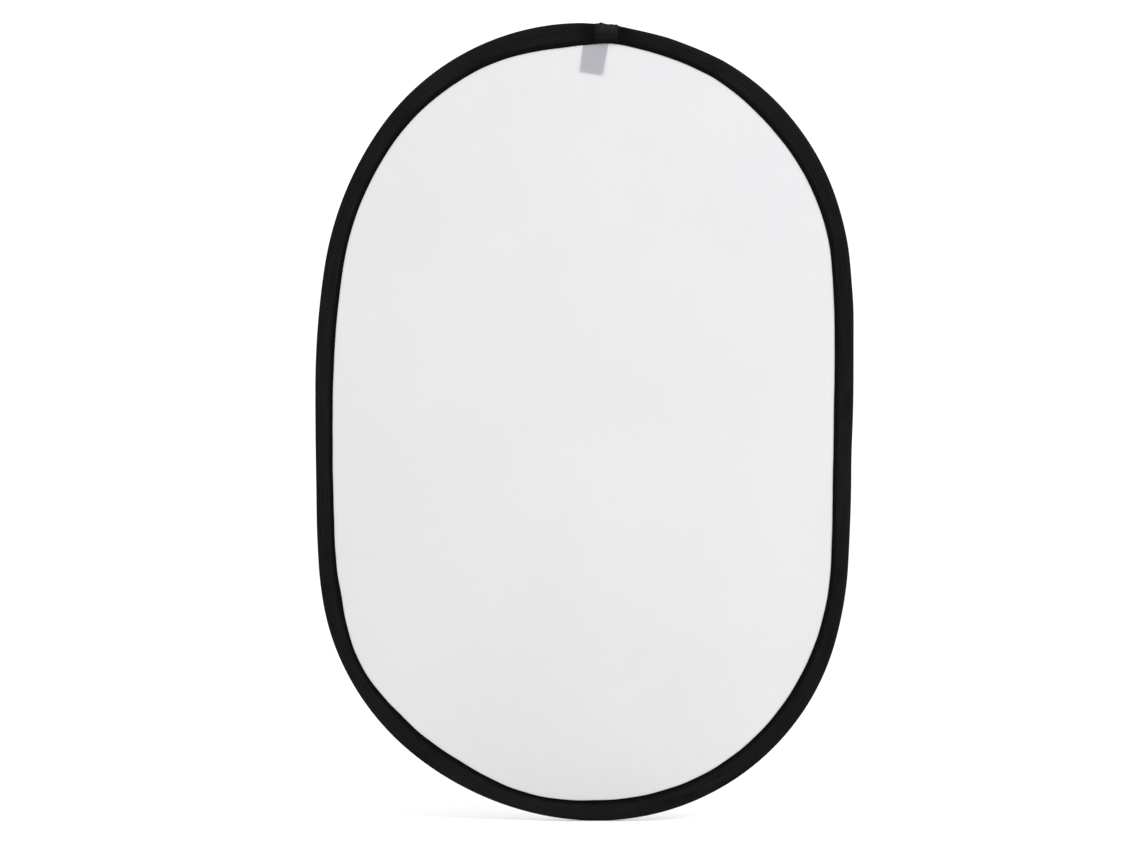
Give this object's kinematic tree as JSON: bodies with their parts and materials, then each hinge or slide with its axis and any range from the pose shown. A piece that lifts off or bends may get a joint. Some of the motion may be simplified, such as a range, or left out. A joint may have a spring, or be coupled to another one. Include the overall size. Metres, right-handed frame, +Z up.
{
  "type": "collapsible reflector disc",
  "caption": "Oval translucent white photographic reflector panel with a black cloth binding round a hidden sprung steel hoop; folds in half about its short axis.",
  "frame": {"origin": "middle of the disc's bounding box, on the panel's mid plane", "axes": "+Z up along the long axis, towards the hoop joint and label; +X to the right as seen from the front; the front faces -Y"},
  "size_m": [0.608, 0.0104, 0.9],
  "materials": {
    "panel_fabric": "smooth white translucent woven nylon, slight sheen",
    "binding_tape": "black woven polyester tape, matt with a soft sheen",
    "lap_tape": "black woven tape, rumpled where it is lapped",
    "thread": "black twisted polyester thread",
    "spring_steel": "blued cold-rolled spring strip",
    "sleeve_steel": "zinc plated, crimped",
    "rivet_steel": "plain bright",
    "label_fabric": "violet-grey woven satin ribbon, blank"
  },
  "bodies": {
    "middle": {"panel_middle": "panel_fabric", "binding_middle": "binding_tape", "hoop_band_middle": "spring_steel", "seam_thread_middle": "thread"},
    "lower_6": {"panel_lower_6": "panel_fabric", "binding_lower_6": "binding_tape", "hoop_band_lower_6": "spring_steel", "seam_thread_lower_6": "thread"},
    "lower_5": {"panel_lower_5": "panel_fabric", "binding_lower_5": "binding_tape", "hoop_band_lower_5": "spring_steel", "seam_thread_lower_5": "thread"},
    "lower_4": {"panel_lower_4": "panel_fabric", "binding_lower_4": "binding_tape", "hoop_band_lower_4": "spring_steel", "seam_thread_lower_4": "thread"},
    "lower_3": {"panel_lower_3": "panel_fabric", "binding_lower_3": "binding_tape", "hoop_band_lower_3": "spring_steel", "seam_thread_lower_3": "thread"},
    "lower_2": {"panel_lower_2": "panel_fabric", "binding_lower_2": "binding_tape", "hoop_band_lower_2": "spring_steel", "seam_thread_lower_2": "thread"},
    "lower_1": {"panel_lower_1": "panel_fabric", "binding_lower_1": "binding_tape", "hoop_band_lower_1": "spring_steel", "seam_thread_lower_1": "thread"},
    "upper_1": {"panel_upper_1": "panel_fabric", "binding_upper_1": "binding_tape", "hoop_band_upper_1": "spring_steel", "seam_thread_upper_1": "thread"},
    "upper_2": {"panel_upper_2": "panel_fabric", "binding_upper_2": "binding_tape", "hoop_band_upper_2": "spring_steel", "seam_thread_upper_2": "thread"},
    "upper_3": {"panel_upper_3": "panel_fabric", "binding_upper_3": "binding_tape", "hoop_band_upper_3": "spring_steel", "seam_thread_upper_3": "thread"},
    "upper_4": {"panel_upper_4": "panel_fabric", "binding_upper_4": "binding_tape", "hoop_band_upper_4": "spring_steel", "seam_thread_upper_4": "thread"},
    "upper_5": {"panel_upper_5": "panel_fabric", "binding_upper_5": "binding_tape", "hoop_band_upper_5": "spring_steel", "seam_thread_upper_5": "thread"},
    "upper_6": {"panel_upper_6": "panel_fabric", "binding_upper_6": "binding_tape", "hoop_band_upper_6": "spring_steel", "seam_thread_upper_6": "thread", "band_sleeve": "sleeve_steel", "band_rivets": "rivet_steel", "binding_lap": "lap_tape", "bar_tacks": "thread"},
    "label": {"label": "label_fabric"}
  },
  "joints": [
    {"name": "fold", "type": "hinge", "parent": "middle", "child": "upper_1", "pos_m": [0, 0, 0.0175], "axis": [1, 0, 0], "range_deg": [-14.7, 14.7], "stiffness_Nm_per_rad": 3.6},
    {"name": "bend_upper_2", "type": "hinge", "parent": "upper_1", "child": "upper_2", "pos_m": [0, 0, 0.0525], "axis": [1, 0, 0], "range_deg": [-14.7, 14.7], "stiffness_Nm_per_rad": 3.6},
    {"name": "bend_upper_3", "type": "hinge", "parent": "upper_2", "child": "upper_3", "pos_m": [0, 0, 0.0875], "axis": [1, 0, 0], "range_deg": [-14.7, 14.7], "stiffness_Nm_per_rad": 3.6},
    {"name": "bend_upper_4", "type": "hinge", "parent": "upper_3", "child": "upper_4", "pos_m": [0, 0, 0.1225], "axis": [1, 0, 0], "range_deg": [-14.7, 14.7], "stiffness_Nm_per_rad": 3.6},
    {"name": "bend_upper_5", "type": "hinge", "parent": "upper_4", "child": "upper_5", "pos_m": [0, 0, 0.1575], "axis": [1, 0, 0], "range_deg": [-14.7, 14.7], "stiffness_Nm_per_rad": 3.6},
    {"name": "bend_upper_6", "type": "hinge", "parent": "upper_5", "child": "upper_6", "pos_m": [0, 0, 0.1925], "axis": [1, 0, 0], "range_deg": [-14.7, 14.7], "stiffness_Nm_per_rad": 3.6},
    {"name": "bend_lower_1", "type": "hinge", "parent": "middle", "child": "lower_1", "pos_m": [0, 0, -0.0175], "axis": [-1, 0, 0], "range_deg": [-14.7, 14.7], "stiffness_Nm_per_rad": 3.6},
    {"name": "bend_lower_2", "type": "hinge", "parent": "lower_1", "child": "lower_2", "pos_m": [0, 0, -0.0525], "axis": [-1, 0, 0], "range_deg": [-14.7, 14.7], "stiffness_Nm_per_rad": 3.6},
    {"name": "bend_lower_3", "type": "hinge", "parent": "lower_2", "child": "lower_3", "pos_m": [0, 0, -0.0875], "axis": [-1, 0, 0], "range_deg": [-14.7, 14.7], "stiffness_Nm_per_rad": 3.6},
    {"name": "bend_lower_4", "type": "hinge", "parent": "lower_3", "child": "lower_4", "pos_m": [0, 0, -0.1225], "axis": [-1, 0, 0], "range_deg": [-14.7, 14.7], "stiffness_Nm_per_rad": 3.6},
    {"name": "bend_lower_5", "type": "hinge", "parent": "lower_4", "child": "lower_5", "pos_m": [0, 0, -0.1575], "axis": [-1, 0, 0], "range_deg": [-14.7, 14.7], "stiffness_Nm_per_rad": 3.6},
    {"name": "bend_lower_6", "type": "hinge", "parent": "lower_5", "child": "lower_6", "pos_m": [0, 0, -0.1925], "axis": [-1, 0, 0], "range_deg": [-14.7, 14.7], "stiffness_Nm_per_rad": 3.6},
    {"name": "label_swing", "type": "hinge", "parent": "upper_6", "child": "label", "pos_m": [0.0125, 0.0006, 0.4245], "axis": [1, 0, 0], "range_deg": [0, 120]}
  ],
  "couplings": [
    {"joint": "bend_upper_2", "follows": "fold", "ratio": 1},
    {"joint": "bend_upper_3", "follows": "fold", "ratio": 1},
    {"joint": "bend_upper_4", "follows": "fold", "ratio": 1},
    {"joint": "bend_upper_5", "follows": "fold", "ratio": 1},
    {"joint": "bend_upper_6", "follows": "fold", "ratio": 1},
    {"joint": "bend_lower_1", "follows": "fold", "ratio": 1},
    {"joint": "bend_lower_2", "follows": "fold", "ratio": 1},
    {"joint": "bend_lower_3", "follows": "fold", "ratio": 1},
    {"joint": "bend_lower_4", "follows": "fold", "ratio": 1},
    {"joint": "bend_lower_5", "follows": "fold", "ratio": 1},
    {"joint": "bend_lower_6", "follows": "fold", "ratio": 1}
  ]
}
